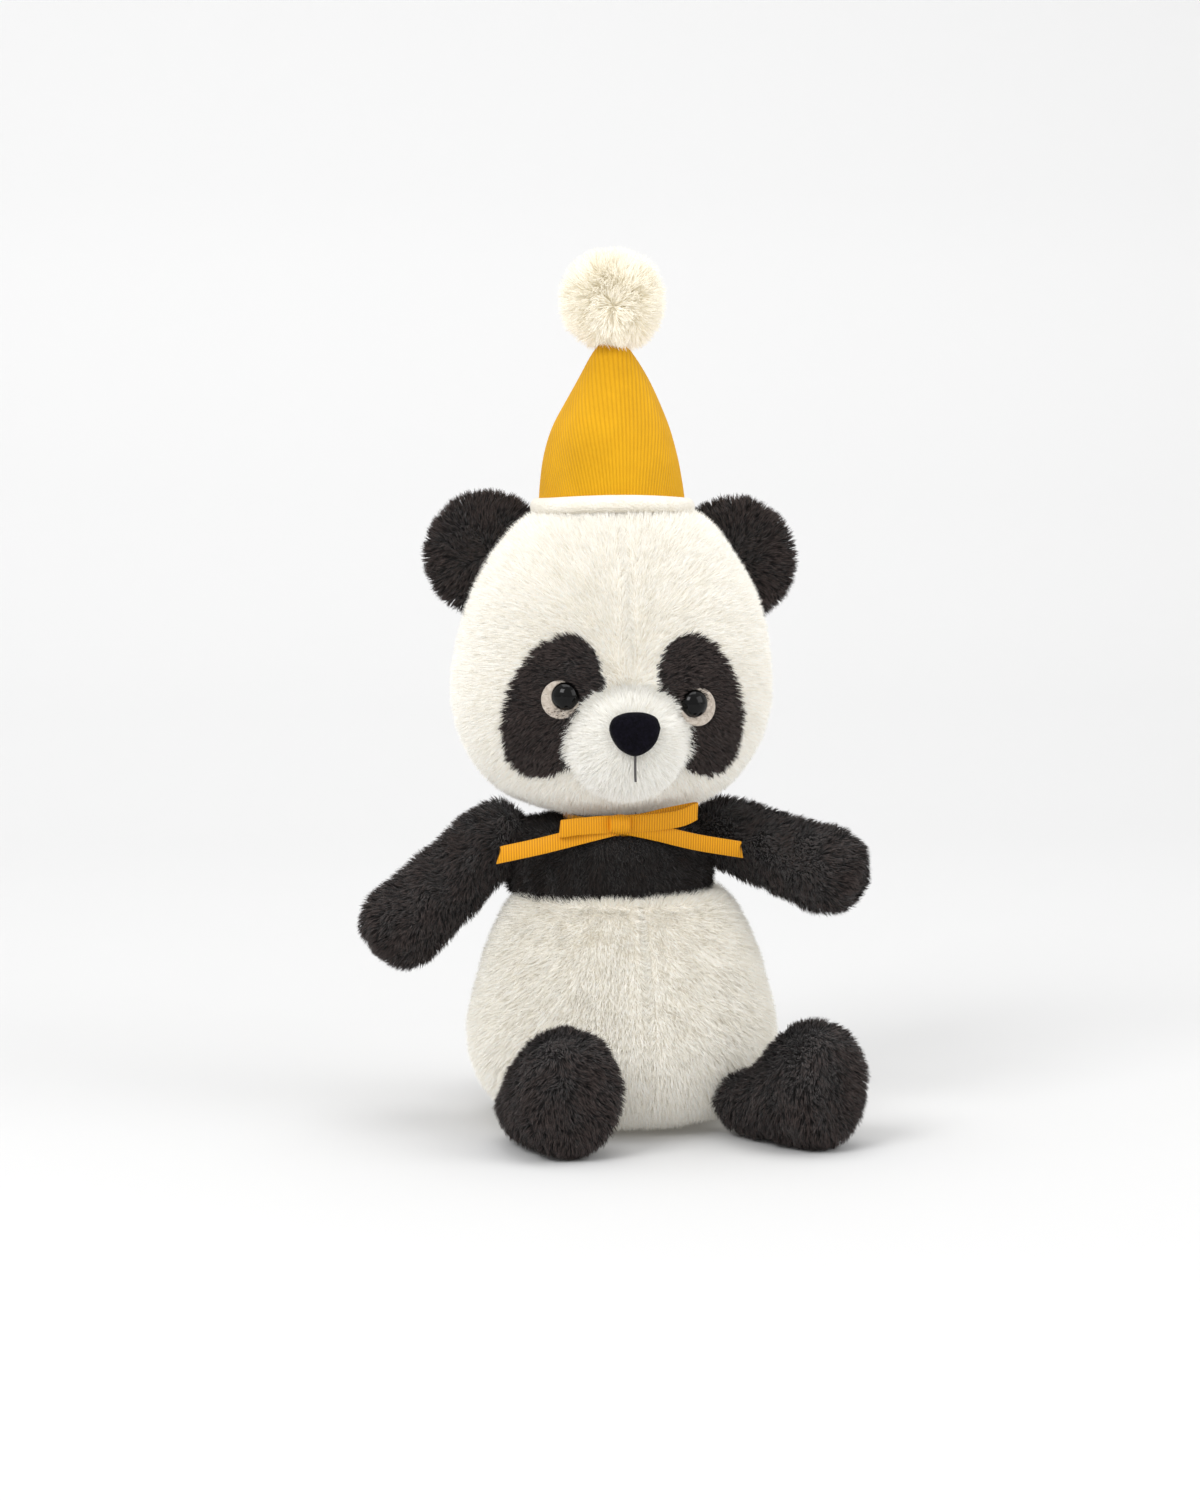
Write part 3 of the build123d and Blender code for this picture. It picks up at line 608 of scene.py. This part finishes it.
def tube(path, radius, columns=12):
    """A round cord along path."""
    path = np.array(path, float)
    way = unit(np.gradient(path, axis=0))
    side = unit(np.cross(way, [0.2, 0.9, 0.37]))
    up = np.cross(way, side)
    angle = np.linspace(0, 2 * math.pi, columns, endpoint=False)[:, None]
    rings = [p + (np.cos(angle) * s + np.sin(angle) * u) * radius for p, s, u in zip(path, side, up)]
    return closed_grid(np.array(rings))


mouth_path = smooth_curve(
    [(FACE_X, -42.6, 95.6), (FACE_X, -42.2, 92.5), (FACE_X + 0.2, -41.0, 89.6), (FACE_X + 0.4, -40.2, 88.2)],
    24,
)
mouth = build("mouth_thread", *tube(mouth_path, THREAD_RADIUS), [NAVY_THREAD], body="head")
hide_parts("mouth_stitch")

# ---------------------------------------------------------------- ears
EARS = {"right": (np.array([-36.39, 10.0, 143.31]), 17), "left": (np.array([33.59, 10.0, 141.71]), 18)}
EAR_TILT = 32
EAR_RADIUS = 14.0
EAR_THICKNESS = 3.6
EAR_TUCK = 4.4
EAR_SEAM_DEPTH = 9.0
for name, (hinge, seed) in EARS.items():
    side = SIDES[name]
    lean = math.radians(EAR_TILT)
    outward = np.array([side * math.cos(lean), 0, math.sin(lean)])
    level = np.cross(outward, [0, -1, 0])
    middle = hinge - outward * EAR_TUCK
    rings = []
    for t in np.linspace(-math.pi / 2, math.pi / 2, 30):
        radius = EAR_RADIUS * max(math.cos(t), 0.004) ** 0.62
        thick = EAR_THICKNESS * math.sin(t)
        angle = np.linspace(0, 2 * math.pi, 60, endpoint=False)[:, None]
        spoke = np.cos(angle) * outward - side * np.sin(angle) * level
        rings.append(middle + spoke * radius + np.array([0, -thick * side, 0]))
    ear = closed_grid(np.array(rings))
    keep = ((face_centres(*ear) - hinge) @ outward) > -EAR_SEAM_DEPTH
    cover = build(f"{name}_ear_cover", *part_of(*ear, keep), [BLACK_BACK], body=f"{name}_ear")
    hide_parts(f"{name}_ear_front", f"{name}_ear_back")
    pile = grow(f"{name}_ear_pile", ear, f"{name}_ear", BLACK_TONES, seed, keep=keep,
                lie=lambda p, n, m=middle: unit(p - m), per_mm2=10.0, length=2.7, width=0.24, lean=0.7,
                tuft=1.2, pull=0.4)

# ---------------------------------------------------------------- upper body and belly
TORSO_OUTLINE = [
    (0.1, 55), (16, 55.2), (23.6, 57.0), (24.8, 60), (25.0, 65), (24.8, 69.6), (22.4, 73.0), (16, 74.2),
    (10.6, 75.0), (9.0, 76.1), (0.1, 76.4),
]
BELLY_OUTLINE = [
    (0.1, 2.2), (16, 2.2), (25, 2.8), (31.4, 6.0), (35.4, 11.6), (37.3, 19.0), (36.8, 26.5), (34.9, 34),
    (32.8, 42), (29.8, 49.6), (26.6, 54.6), (22.0, 56.6), (0.1, 56.8),
]
BELLY_SEAM_X = 1.2
BELLY_SEAM_DEPTH = 0.9
BELLY_REST = 1.2
torso = closed_grid(turned(TORSO_OUTLINE, TORSO, 60, 110, 0.3, 31))
torso_cover = build("torso_cover_soft", *torso, [SHORT_BACK], body="body")
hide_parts("torso_cover", "torso_stuffing")
torso_pile = grow("torso_pile", torso, "body", TORSO_TONES, 32, per_mm2=9.0, length=1.9, width=0.22,
                  lean=0.6, tuft=1.0, pull=0.3, straight=True)

belly_rings = turned(BELLY_OUTLINE, BELLY, 80, 140, 0.45, 41)
flat = belly_rings.reshape(-1, 3)
crease = np.exp(-((flat[:, 0] - BELLY_SEAM_X) / 0.9) ** 2) * (flat[:, 1] < 0) * swell(flat[:, 2], 4, 12)
flat -= unit(flat - np.array([0, 0, 28.0])) * (crease * BELLY_SEAM_DEPTH)[:, None]
flat[:, 2] = np.maximum(flat[:, 2], BELLY_REST)
belly = closed_grid(flat.reshape(belly_rings.shape))
belly_cover = build("belly_cover", *belly, [CREAM_BACK], body="body")
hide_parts("right_belly_front_panel", "left_belly_front_panel", "belly_back_panel",
            "seat_panel", "belly_stuffing", "pellet_bag", "pellets")
belly_pile = grow("belly_pile", belly, "body", CREAM_TONES, 42, length=2.3, **CREAM_COAT)

# ---------------------------------------------------------------- arms and legs
ARMS = {
    "right": (np.array([-32.3, 1.8, 69.7]), np.array([-27.0, -2.0, -24.5]), 31.0, 51),
    "left": (np.array([27.0, -1.0, 70.6]), np.array([26.6, -17.0, -9.0]), 28.0, 52),
}
for name, (root, way, length, seed) in ARMS.items():
    knots = [
        (-8.4, 0.1, 0.1, 0), (-7.4, 5.2, 5.2, 0), (-2, 7.2, 7.4, 0.2), (6, 7.5, 7.9, 0.2), (14, 7.9, 8.3, 0),
        (length - 6, 8.6, 9.0, 0), (length, 8.8, 9.3, 0), (length + 4.5, 7.6, 8.0, 0),
        (length + 7, 4.8, 5.0, 0), (length + 7.8, 0.1, 0.1, 0),
    ]
    limb = closed_grid(along_limb(root, way, knots))
    cover = build(f"{name}_arm_cover", *limb, [BLACK_BACK], body=f"{name}_arm")
    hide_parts(f"{name}_arm_upper_panel", f"{name}_arm_under_panel", f"{name}_arm_stuffing")
    tip = root + unit(way) * (length * 0.7)

    def arm_lie(points, out, way=unit(way), tip=tip):
        return way * 0.8 + unit(points - tip) * 0.6

    pile = grow(f"{name}_arm_pile", limb, f"{name}_arm", BLACK_TONES, seed, lie=arm_lie, **LIMB_COAT)

FOOT_REST = 1.9
SOLE_FROM = 28.8
LEGS = {
    "right": (np.array([-27.5, -29.4, 10.6]), 11.0, 2.6, 61),
    "left": (np.array([25.5, -30.4, 10.6]), 38.0, 0.0, 62),
}
for name, (hip, turn, slide, seed) in LEGS.items():
    turn = math.radians(turn)
    way = np.array([math.sin(turn), -math.cos(turn), 0.0])
    knots = [
        (-5, 0.1, 0.1, -2), (-4, 4.0, 4.0, -2), (0, 6.0, 6.0, -2.2), (6, 7.2, 7.2, -1.6), (12, 9.0, 9.6, 0.8),
        (16.5, 10.8, 12.2, 3.2), (20.5, 11.5, 13.6, 4.6), (25, 11.6, 13.8, 4.8), (28.4, 10.6, 12.6, 4.6),
        (30.6, 8.0, 10.0, 4.4), (31.2, 0.1, 0.1, 4.4),
    ]
    rings = along_limb(hip, way, knots, 70, 90, slide)
    rings[:, :, 2] = np.maximum(rings[:, :, 2], FOOT_REST)
    limb = closed_grid(rings)
    reach = (face_centres(*limb) - hip) @ way
    is_sole = reach > SOLE_FROM
    leg_cover = build(f"{name}_leg_cover_soft", *part_of(*limb, ~is_sole), [BLACK_BACK], body=f"{name}_leg")
    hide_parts(f"{name}_leg_cover", f"{name}_leg_stuffing")
    sole = build(f"{name}_sole_cover", *part_of(*limb, is_sole), [BLACK_BACK], body=f"{name}_leg")
    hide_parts(f"{name}_sole")
    centre = hip + way * 25 + np.array([0, 0, 4.9])

    def leg_lie(points, out, way=way, centre=centre):
        off = points - centre
        off -= way * (off @ way)[:, None]
        return way * 0.3 + unit(off) * 0.4 + np.array([0.0, 0.0, -0.5])

    for part, keep, part_seed in (("leg", ~is_sole, seed), ("sole", is_sole, seed + 2)):
        pile = grow(f"{name}_{part}_pile", limb, f"{name}_leg", BLACK_TONES, part_seed, keep=keep,
                    lie=leg_lie, **LIMB_COAT)

# ---------------------------------------------------------------- hat
CORDUROY = corduroy("mustard_corduroy")
VELOUR = pile_backing("cream_velour", "efe8d8", "f8f3e8")
HAT_OUTLINE = [
    (17.8, 151.6), (17.8, 155), (17.4, 159.5), (16.5, 165.5), (14.6, 172.5), (11.4, 179.5), (7.6, 186.6),
    (4.4, 191.6), (2.4, 193.4), (0.1, 193.8),
]
WALE_RELIEF = 0.18
BAND_Z = 153.4
BAND_RADIUS = 18.4
BAND_ROLL = 2.2
BAND_STEPS = 160
ROLL_STEPS = 20


def hat_rings():
    """The cone with its parallel wales, as cut from one flat piece and seamed at the back."""
    rings = turned(HAT_OUTLINE, HEAD, 150, 760)
    flat = rings.reshape(-1, 3)
    angle = np.arctan2(flat[:, 0] - HEAD[0], HEAD[1] - flat[:, 1])
    radius = np.hypot(flat[:, 0] - HEAD[0], flat[:, 1] - HEAD[1])
    cut = wale_slant(flat[:, 2]) * np.sin(angle * WALE_SPREAD)
    wale = np.sqrt(np.abs(np.cos(math.pi * cut / WALE)))
    fold = ripple(flat * [1, 1, 0.35], 15, 71) * 0.45 * swell(radius, 1, 8)
    back_seam = np.exp(-((math.pi - np.abs(angle)) * radius / 1.2) ** 2) * 0.7
    way = np.stack([np.sin(angle), -np.cos(angle), np.zeros_like(angle)], 1)
    flat += way * (wale * WALE_RELIEF * swell(radius, 0.5, 3) + fold - back_seam)[:, None]
    return flat.reshape(rings.shape)


hat = build("hat_cone", *closed_grid(hat_rings()), [CORDUROY], body="head")
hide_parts("hat_shell", "hat_stuffing")

ring = []
for a in np.linspace(0, 2 * math.pi, BAND_STEPS, endpoint=False):
    out = np.array([math.sin(a), -math.cos(a), 0.0])
    lift = 0.5 * math.cos(a * 2)
    centre = np.array([HEAD[0], HEAD[1], BAND_Z + lift]) + out * BAND_RADIUS
    turn = np.linspace(0, 2 * math.pi, ROLL_STEPS, endpoint=False)[:, None]
    ring.append(centre + (np.cos(turn) * out + np.sin(turn) * np.array([0, 0, 1.0])) * BAND_ROLL)
band = build("hat_band_roll", *looped_grid(np.array(ring)), [VELOUR], body="head")
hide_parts("hat_band")

# ---------------------------------------------------------------- pom-pom
POMPOM_OUTLINE = [
    (0.1, 195.6), (4.8, 196.5), (8.0, 199.8), (8.9, 204.0), (8.0, 208.3), (4.8, 211.5), (0.1, 212.4),
]
core = closed_grid(turned(POMPOM_OUTLINE, HEAD, 30, 40))
pompom = build("pompom_core", *core, [pile_backing("pompom_backing", "eee3c6", "f7f0dc")], body="pompom")
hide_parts("pompom", "pompom_tie")
yarn = grow("pompom_yarn", core, "pompom", YARN_TONES, 81, lie=lambda p, n: n + 0.01, per_mm2=22.0,
            length=4.4, width=0.3, lean=0.0, tuft=1.3, pull=0.35, ragged=0.3)

# ---------------------------------------------------------------- ribbon and bow
GROSGRAIN = grosgrain("mustard_grosgrain")


RIBBON_PROFILE = np.array(
    [
        (-0.5, -0.3), (-0.47, -0.5), (0.47, -0.5), (0.5, -0.3),
        (0.5, 0.3), (0.47, 0.5), (-0.47, 0.5), (-0.5, 0.3),
    ]
)
RIBBON_THICKNESS = 0.45
TIE_WIDTH = 4.1
LOOP_WIDTH = 4.2
TAIL_TWIST = 12
LOOP_TWIST = 6


def ribbon(name, node, path, width, twist=0.0, closed=False, cut=0.0):
    """A strip of ribbon on edge along path, width high, with rounded selvedges, for a frame node.

    cut slants the far end, and a closed strip joins end to end.
    """
    path = np.array(path, float)
    if closed:
        way = unit(np.roll(path, -1, 0) - np.roll(path, 1, 0))
    else:
        way = unit(np.gradient(path, axis=0))
    up = unit(np.array([0, 0, 1.0]) - way * way[:, 2:3])
    side = unit(np.cross(way, up))
    lean = math.radians(twist)
    up, side = up * math.cos(lean) + side * math.sin(lean), side * math.cos(lean) - up * math.sin(lean)
    high, thick = RIBBON_PROFILE.T
    rings = []
    for number, p in enumerate(path):
        slide = cut * (number == len(path) - 1)
        rings.append(p + np.outer(high * width, up[number]) + np.outer(thick * RIBBON_THICKNESS, side[number])
                     + np.outer(high * slide, way[number]))
    grid = looped_grid if closed else closed_grid
    strip = build(name, *grid(np.array(rings)), [GROSGRAIN], body="body")
    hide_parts(node)


# The neck ribbon is a ring narrow enough for the chin to hide, reaching forward to the knot.
NECK_RING = {"across": 11.5, "deep": 20.9, "middle": 0.6, "height": 74.9}
KNOT = np.array([-3.7, -22.6, 76.0])
RIGHT_TAIL = [(-0.5, 0.6, -0.6), (-9, 0.4, -2.6), (-19, 1.8, -5.2), (-29.0, 4.6, -7.6)]
LEFT_TAIL = [(0.5, 0.6, -0.4), (9, 0.4, -2.2), (19, 1.6, -4.8), (31, 4.6, -7.2)]
LOOP_KNOTS = [
    (0, -0.3, 0), (0.35, -1.2, 0.1), (0.75, -1.5, 0.4), (0.97, -0.9, 0.9), (1.0, 0.1, 1.0), (0.93, 1.1, 0.9),
    (0.6, 1.3, 0.5), (0.3, 0.9, 0.1), (0, 0.5, 0),
]
angle = np.linspace(0, 2 * math.pi, 120, endpoint=False)
neck_path = np.stack(
    [
        TORSO[0] + NECK_RING["across"] * np.sin(angle),
        NECK_RING["middle"] - NECK_RING["deep"] * np.cos(angle),
        np.full(len(angle), NECK_RING["height"]),
    ],
    1,
)


def tail_path(offsets):
    """A tail from the knot outwards, through offsets from the knot."""
    return smooth_curve([KNOT + offset for offset in offsets], 40)


ribbon("neck_ribbon_strip", "neck_ribbon", neck_path, TIE_WIDTH, closed=True)
ribbon("right_bow_tail_strip", "right_bow_tail", tail_path(RIGHT_TAIL), TIE_WIDTH, TAIL_TWIST, cut=-2.5)
ribbon("left_bow_tail_strip", "left_bow_tail", tail_path(LEFT_TAIL), TIE_WIDTH, TAIL_TWIST, cut=-2.0)


def loop_path(side, length, rise):
    """A flattened loop from the knot out and back."""
    return smooth_curve([KNOT + (side * x * length, y + 0.9, z * rise) for x, y, z in LOOP_KNOTS], 60)


ribbon("right_bow_loop_strip", "right_bow_loop", loop_path(-1, 14.4, -1.0), LOOP_WIDTH, LOOP_TWIST)
ribbon("left_bow_loop_strip", "left_bow_loop", loop_path(1, 19.0, 3.0), LOOP_WIDTH, LOOP_TWIST)
knot_angle = np.linspace(0, 2 * math.pi, 48, endpoint=False)
knot_rings = []
for t in np.linspace(-1, 1, 15):
    deep = 2.7 * (1 - 0.25 * t * t)
    high = 2.5 * (1 - 0.2 * t * t)
    knot_rings.append(
        np.stack(
            [
                KNOT[0] + np.full(len(knot_angle), t * 2.3),
                KNOT[1] - 0.2 - np.cos(knot_angle) * deep * 0.9,
                KNOT[2] + np.sin(knot_angle) * high,
            ],
            1,
        )
    )
knot = build("bow_knot_wrap", *closed_grid(np.array(knot_rings)), [GROSGRAIN], body="body")
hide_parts("bow_knot")

neck_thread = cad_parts["neck_stitching"]
neck_thread.data.materials.clear()
neck_thread.data.materials.append(CREAM_THREAD)

# ---------------------------------------------------------------- floor, light and camera
backdrop_paint = Paint("studio_paper", Roughness=0.9)
backdrop_tone = backdrop_paint.speckle(60.0, 2.0)
# Painted light and shade: the paper is painted darker in front of and under the toy and lighter towards and
# up the back wall.
distance = backdrop_paint.node("ShaderNodeSeparateXYZ", None, {0: backdrop_paint.place()}, output=1)
far = backdrop_paint.ramp(distance, 0.15, 1.3)
near_tone = backdrop_paint.mix(backdrop_tone * 0.2, rgb("d9d9d9"), rgb("d5d5d5"))
paper = backdrop_paint.wear(backdrop_paint.mix(far, near_tone, rgb("f4f4f4")), None, backdrop_tone, 0.05)
PAPER_LINE = [
    (-3000, 0), (600, 0), (900, 30), (1150, 130), (1350, 320), (1480, 600), (1540, 1000), (1560, 4000),
]
points = np.array([(x, y, z) for y, z in PAPER_LINE for x in (-4000, 4000)], float)
faces = [np.array([2 * i, 2 * i + 1, 2 * i + 3, 2 * i + 2]) for i in range(len(PAPER_LINE) - 1)]
floor = build("studio_floor", points, faces, [paper])

world = bpy.data.worlds.new("studio")
bpy.context.scene.world = world
world.use_nodes = True
world.node_tree.nodes["Background"].inputs["Color"].default_value = (1, 1, 1, 1)
world.node_tree.nodes["Background"].inputs["Strength"].default_value = 0.75


def lamp(name, place, size, power):
    """A soft box aimed at the toy."""
    data = bpy.data.lights.new(name, "AREA")
    data.size, data.energy = size, power
    thing = bpy.data.objects.new(name, data)
    bpy.context.scene.collection.objects.link(thing)
    thing.location = place
    thing.rotation_euler = (Vector((0, 0, 0.1)) - Vector(place)).to_track_quat("-Z", "Y").to_euler()


lamp("window_left", (-0.75, -0.75, 0.95), 0.6, 8.2)
lamp("fill_right", (0.9, -0.6, 0.6), 0.8, 4.0)
lamp("top", (0.0, 0.1, 1.2), 0.8, 5.0)

lens = bpy.data.cameras.new("camera")
lens.sensor_fit = "VERTICAL"
lens.sensor_height = 36
lens.lens = 86.4
camera = bpy.data.objects.new("camera", lens)
bpy.context.scene.collection.objects.link(camera)
camera.location = Vector((-124.05, -888.24, 170.69)) * MM
aim = Vector((-5.47, 0.46, 92.25)) * MM
camera.rotation_euler = (aim - camera.location).to_track_quat("-Z", "Y").to_euler()
bpy.context.scene.camera = camera
bpy.context.scene.view_settings.view_transform = "Standard"
